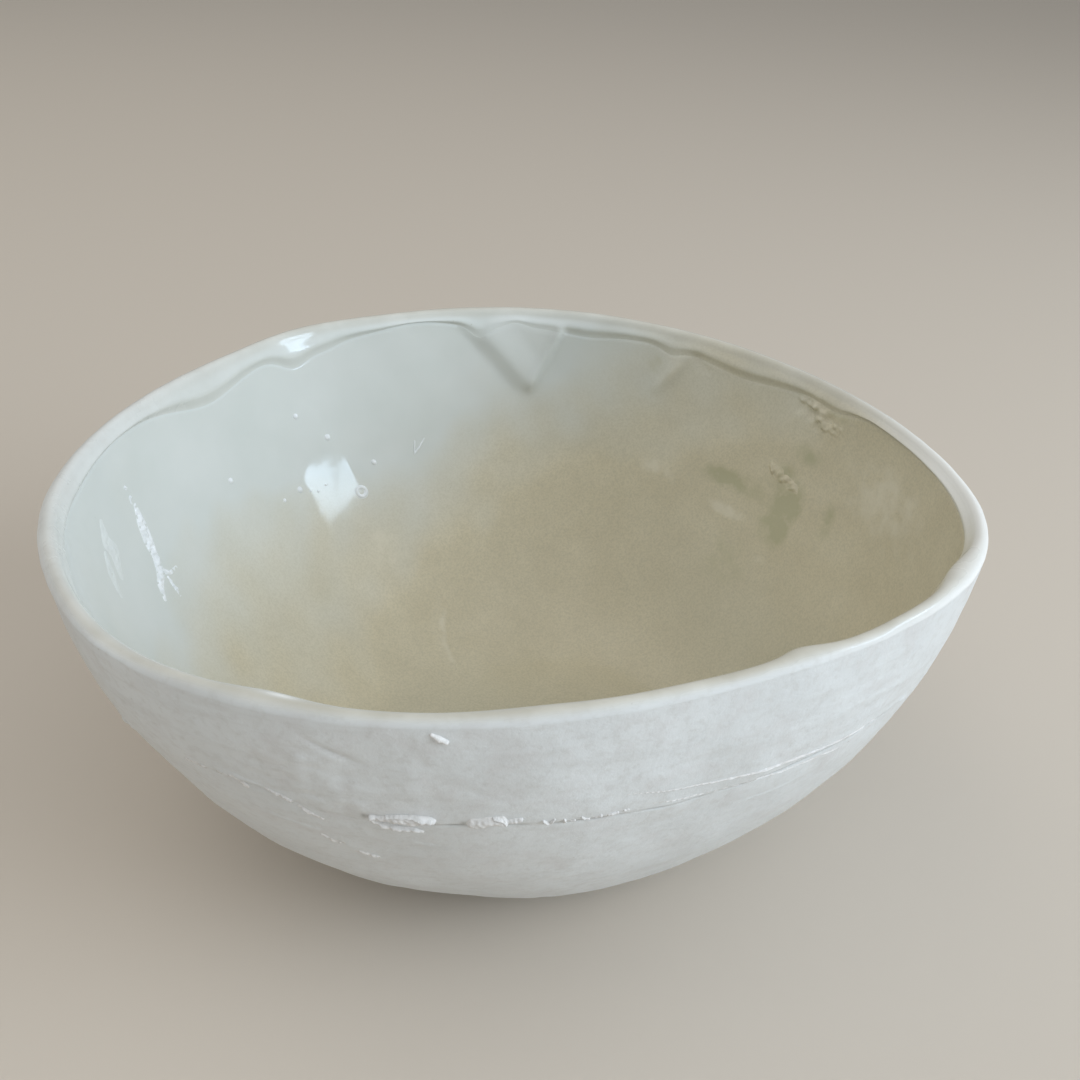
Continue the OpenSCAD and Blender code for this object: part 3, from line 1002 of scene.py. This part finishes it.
def big_curl(u, v):
    """A pared curl of clay: an upper strand and a lower one that part from its left end."""
    upper = strand(u, v, [
        (-4.7, 1.4, 0.3, 0.45), (-3.2, 1.0, 0.6, 0.5), (-1.0, 1.3, 0.85, 0.7),
        (1.4, 1.5, 0.95, 0.85), (3.6, 1.2, 0.9, 0.95), (4.3, 1.0, 0.6, 0.75),
    ])
    lower = strand(u, v, [
        (-4.8, 1.2, 0.3, 0.55), (-4.2, -0.1, 0.35, 0.65), (-3.0, -1.2, 0.45, 0.7),
        (-0.6, -1.8, 0.45, 0.6), (1.2, -2.0, 0.45, 0.5), (2.3, -2.7, 0.3, 0.35),
    ])
    edge = strand(u, v, [(-2.4, 1.8, 0.2, 0.6), (0.4, 2.2, 0.2, 0.8), (2.4, 2.0, 0.25, 0.95),
                         (4.2, 1.5, 0.3, 1.05)])
    h = np.maximum(np.maximum(upper, lower), edge)
    skin = 0.1 * rough(u, v, 1.6, 71) + 0.06 * rough(u, v, 0.7, 72)
    return h + skin * smooth_step(h, -0.02, 0.2)


def tab(u, v):
    """A flat tab of clay, crisp below and soft above, with a fold near its right end."""
    slanted = v - 0.08 * u
    across = smooth_step(slanted, 1.3, 0.0) * smooth_step(slanted, -0.95, -0.65)
    along = smooth_step(u - 0.3 * v, -3.2, -2.6) * smooth_step(u + 0.4 * v, 3.1, 2.7)
    h = (0.7 + 0.12 * rough(u, v, 2.6, 79)) * across * along - 0.08
    fold = strand(u, v, [(0.9, 0.9, 0.2, 0.6), (2.0, 0.6, 0.25, 0.85), (2.7, -0.4, 0.25, 0.85)])
    h = np.maximum(h, fold)
    return h + 0.06 * rough(u, v, 0.9, 73) * smooth_step(h, -0.02, 0.2)


def seam_scraps():
    """The scraps of clay along the seam on the front."""
    level = seam(-98)
    patches = [
        patch_mesh(outer_face, (-107.0, level + 0.4), (11, 7), 0.11, big_curl),
        patch_mesh(outer_face, (-97.3, level + 1.0), (7.4, 3.6), 0.1, tab),
    ]
    crumbs = [
        # A crumb after the tab, then a little curl
        [[(-94.9, 56.8, 0.35, 0.4), (-94.0, 57.0, 0.5, 0.5), (-93.3, 57.3, 0.3, 0.4)]],
        [[(-90.6, 56.3, 0.22, 0.3), (-90.2, 55.7, 0.28, 0.55), (-89.8, 55.4, 0.26, 0.5)],
         [(-89.8, 55.4, 0.24, 0.4), (-89.2, 56.4, 0.2, 0.3)]],
        # Nicks that thin out along the seam
        [[(-87.9, 56.0, 0.2, 0.26), (-87.8, 54.9, 0.24, 0.34)],
         [(-87.2, 55.1, 0.2, 0.22), (-86.6, 55.3, 0.24, 0.3)]],
        [[(-85.6, 55.9, 0.2, 0.22), (-85.2, 55.2, 0.26, 0.32), (-84.7, 55.2, 0.2, 0.2)]],
        [[(-83.9, 55.3, 0.2, 0.2), (-83.1, 55.6, 0.24, 0.28)]],
        [[(-82.0, 55.2, 0.22, 0.26), (-80.8, 55.4, 0.26, 0.34)]],
        [[(-79.8, 55.5, 0.18, 0.22), (-79.3, 55.5, 0.2, 0.2)]],
        # Ticks and creases on the left
        [[(-127.6, 60.6, 0.35, 0.12), (-125.4, 61.2, 0.5, 0.2), (-124.4, 59.3, 0.4, 0.2)]],
        [[(-122, 60.2, 0.3, 0.12), (-120.2, 59.0, 0.5, 0.28), (-119.6, 58.4, 0.55, 0.42)]],
        [[(-118.8, 57.2, 0.3, 0.12), (-117.8, 55.9, 0.4, 0.2), (-116.6, 54.8, 0.3, 0.12)]],
        [[(-132, 60.3, 0.3, 0.1), (-129.5, 60.3, 0.45, 0.16)]],
        # A rough place on the dish below
        [[(-118.2, 48.6, 0.35, 0.15), (-117.2, 47.0, 0.5, 0.25), (-116.6, 46.4, 0.35, 0.15)]],
        [[(-114.6, 44.0, 0.3, 0.12), (-112.6, 42.8, 0.45, 0.18)]],
    ]
    for seed, paths in enumerate(crumbs, 81):
        patches.append(strands(outer_face, paths, 0.09, (0.06, 0.7, seed)))
    # The fine raised edge where the band laps over, and a fainter one below it
    edge = [(t, lap_level(t), w, w) for t, w in (
        (-80, 0.06), (-74, 0.1), (-66, 0.17), (-58, 0.26), (-50, 0.24), (-42, 0.14), (-38, 0.08))]
    faint = [(t, lap_level(t) - 3, w, w) for t, w in (
        (-76, 0.06), (-71, 0.12), (-65, 0.06), (-60, 0.1), (-54, 0.14), (-48, 0.12), (-42, 0.06))]
    patches.append(strands(outer_face, [edge], 0.2, (0.03, 3.0, 96)))
    patches.append(strands(outer_face, [faint], 0.2, (0.03, 2.0, 97)))
    joined("seam_curls", patches, SCRAP, ["seam_scraps"])


def wall_pellet():
    """The pellet of clay stuck just under the lip, long from upper left to lower right."""
    path = [(-102.6, 77.3, 0.3, 0.35), (-101.9, 76.6, 0.5, 0.6), (-101.1, 75.9, 0.36, 0.45)]
    patches = [strands(outer_face, [path], 0.08, (0.05, 1.0, 76))]
    joined("wall_pellet_lump", patches, SCRAP, ["wall_pellet"])


def inner_scraps():
    """Torn places inside, on the right, softened by the glaze over them."""
    low_tear = [
        [(36.2, 57, 1.0, 0.06), (34.4, 56.2, 1.8, 0.36), (32.6, 55.2, 1.5, 0.2)],
        [(31.8, 55.4, 1.3, 0.24), (30.4, 54.6, 1.4, 0.26), (28.4, 54.3, 0.9, 0.05)],
    ]
    high_tear = [
        [(33.8, 74.8, 1.2, 0.06), (31, 74.2, 1.9, 0.3), (28.6, 73.8, 1.6, 0.1)],
        [(29.4, 72.2, 1.3, 0.08), (26.6, 71.4, 1.9, 0.3), (23.6, 71.6, 1.3, 0.06)],
    ]
    patches = [
        strands(glaze_face, low_tear, 0.15, (0.12, 1.6, 77), soft=True),
        strands(glaze_face, high_tear, 0.15, (0.14, 1.8, 78), soft=True),
    ]
    paint = [
        ("pool_and_shade", pooled_and_shaded),
        ("brushwork_and_light", lambda p: 0.15 * waves(p, 2.5, 79)),
    ]
    joined("torn_places", patches, GLAZE, ["inner_scraps"], paint)


def bead(radius):
    """A bead of glaze, half as high as its radius."""

    def dome(u, v):
        off = np.hypot(u, v) / radius
        return 0.5 * radius * (1 - off * off) - 0.3 * np.clip(off - 1, 0, 1)

    return dome


def crater(u, v):
    """A ring left by a burst bubble."""
    off = np.hypot(u, v)
    return 0.36 * np.exp(-(((off - 1.2) / 0.4) ** 2)) - 0.05


def glaze_runs():
    """Runs, beads and a fleck in the glaze, which catch the light, painted whiter as a highlight."""
    run = [
        [(175.2, 68.0, 0.45, 0.3), (175.0, 67.6, 0.45, 0.3)],
        [(175.0, 65.6, 0.4, 0.2), (175.2, 64.6, 0.5, 0.25)],
        [(174.8, 63.6, 0.5, 0.12), (175.4, 60.4, 1.3, 0.3), (176.2, 56.5, 1.6, 0.34),
         (177.0, 53.0, 1.1, 0.3), (178.2, 50.6, 1.3, 0.3), (180.2, 49.0, 1.0, 0.26),
         (181.6, 46.8, 0.5, 0.1)],
        [(178, 50.6, 0.8, 0.24), (176.4, 48.8, 0.5, 0.2), (174.6, 48.6, 0.4, 0.1)],
        [(177.6, 48.6, 0.4, 0.16), (177.9, 46.2, 0.5, 0.16), (178.2, 44.6, 0.3, 0.06)],
    ]
    faint_run = [
        [(-176, 67.5, 0.8, 0.04), (-174.8, 64.0, 1.8, 0.1), (-175.4, 61.5, 2.0, 0.1),
         (-173.5, 57.5, 1.0, 0.05)],
        [(-173.0, 63.0, 0.8, 0.04), (-171.6, 60.0, 1.4, 0.08), (-170.4, 56.0, 0.8, 0.04)],
    ]
    fleck = [
        [(112.6, 48.9, 0.14, 0.12), (113.0, 47.2, 0.2, 0.22), (113.2, 46.0, 0.2, 0.22)],
        [(110.5, 49.2, 0.14, 0.12), (112.0, 47.2, 0.22, 0.24), (113.0, 46.2, 0.2, 0.2)],
    ]
    patches = [
        strands(glaze_face, run, 0.15, (0.11, 1.1, 94), soft=True),
        strands(glaze_face, fleck, 0.08),
        patch_mesh(glaze_face, (127, 39.8), (4.2, 4.2), 0.1, crater),
    ]
    beads = (
        (135.2, 61, 0.7), (130, 53.9, 0.8), (122.2, 45.6, 0.7), (153.8, 55, 0.7), (144.5, 45.2, 0.5),
        (136.2, 43.4, 0.4), (134, 44, 0.35), (139.9, 45.5, 0.8), (137.8, 44.2, 0.4),
    )
    for direction, z, radius in beads:
        size = (radius * 2 + 0.4,) * 2
        patches.append(patch_mesh(glaze_face, (direction, z), size, 0.08, bead(radius)))
    faint = [strands(glaze_face, faint_run, 0.18, (0.05, 1.2, 95), soft=True)]
    joined("faint_glaze_runs", faint, FAINT_RUN_AND_HIGHLIGHT)
    joined("glaze_runs", patches, RUN_AND_HIGHLIGHT)


lower_dish()
upper_band()
lip_roll()
glaze_coat()
seam_slip()
seam_scraps()
wall_pellet()
inner_scraps()
glaze_runs()


# ---------------------------------------------------------------- floor, lights and camera


# Each light: name, azimuth, elevation, distance and size in metres, watts, colour, and whether
# it shows in the gloss
LIGHTS = (
    ("window", 104, 17, 0.8, (0.32, 0.13), 0.9, (0.62, 0.81, 1.0), True),
    ("soft_right", 110, 24, 1.1, (0.8, 0.8), 7.8, (0.87, 0.94, 1.0), False),
    ("warm_left", -70, 55, 1.2, (1.2, 1.2), 3.2, (1.0, 0.91, 0.78), False),
    ("soft_top", 180, 68, 1.2, (1.2, 1.2), 3.6, (0.94, 0.97, 1.0), False),
)

# The camera: its place in metres; how far it looks down, tilts and looks right, in degrees; and
# the width of its sensor and the length of its lens, in millimetres
CAMERA_PLACE = (-0.0121, -0.1944, 0.1848)
CAMERA_TURNS = (32.6, 3.57, 4.6)
SENSOR = 36
LENS = 38.17

# The ground under the bowl, half its width in metres, and the even light from all round
GROUND_HALF = 3.0
GROUND_COLOUR = (0.6, 0.54, 0.47, 1)
SKY_COLOUR = (0.9, 0.92, 0.92, 1)
SKY_STRENGTH = 0.42


def pale_floor():
    """A plain floor, wide enough to fill the view."""
    mesh = bpy.data.meshes.new("floor")
    half = GROUND_HALF
    corners = [(-half, -half, 0), (half, -half, 0), (half, half, 0), (-half, half, 0)]
    mesh.from_pydata(corners, [], [(0, 1, 2, 3)])
    floor = bpy.data.objects.new("floor", mesh)
    bpy.context.scene.collection.objects.link(floor)
    n = Nodes("pale_floor")
    n.shader.inputs["Base Color"].default_value = GROUND_COLOUR
    n.shader.inputs["Roughness"].default_value = 0.7
    mesh.materials.append(n.material)


def area_light(name, azimuth, elevation, distance, size, power, colour, glossy):
    """A soft light aimed at the bowl. Azimuth 0 is along +Y, and 90 along +X."""
    a, e = math.radians(azimuth), math.radians(elevation)
    way = Vector((math.sin(a) * math.cos(e), math.cos(a) * math.cos(e), math.sin(e)))
    aim = Vector((0, 0, BOWL_H * MM / 2))
    lamp = bpy.data.lights.new(name, "AREA")
    lamp.shape = "RECTANGLE"
    lamp.size, lamp.size_y = size
    lamp.energy = power
    lamp.color = colour
    light = bpy.data.objects.new(name, lamp)
    light.location = aim + way * distance
    light.rotation_mode = "QUATERNION"
    light.rotation_quaternion = (-way).to_track_quat("-Z", "Y")
    light.visible_glossy = glossy
    bpy.context.scene.collection.objects.link(light)


def camera():
    """The camera stands in front and looks down, a little to the right, slightly tilted."""
    pitch, roll, yaw = (math.radians(angle) for angle in CAMERA_TURNS)
    data = bpy.data.cameras.new("camera")
    data.sensor_width = SENSOR
    data.lens = LENS
    data.clip_start = 0.01
    cam = bpy.data.objects.new("camera", data)
    look = (
        Matrix.Rotation(-yaw, 4, "Z")
        @ Matrix.Rotation(math.pi / 2 - pitch, 4, "X")
        @ Matrix.Rotation(roll, 4, "Z")
    )
    cam.matrix_world = Matrix.Translation(CAMERA_PLACE) @ look
    bpy.context.scene.collection.objects.link(cam)
    bpy.context.scene.camera = cam


def sky():
    """Soft even light from all round."""
    world = bpy.data.worlds.new("studio")
    world.use_nodes = True
    background = world.node_tree.nodes["Background"]
    background.inputs["Color"].default_value = SKY_COLOUR
    background.inputs["Strength"].default_value = SKY_STRENGTH
    bpy.context.scene.world = world


pale_floor()
for light in LIGHTS:
    area_light(*light)
sky()
camera()
bpy.context.scene.view_settings.view_transform = "Standard"
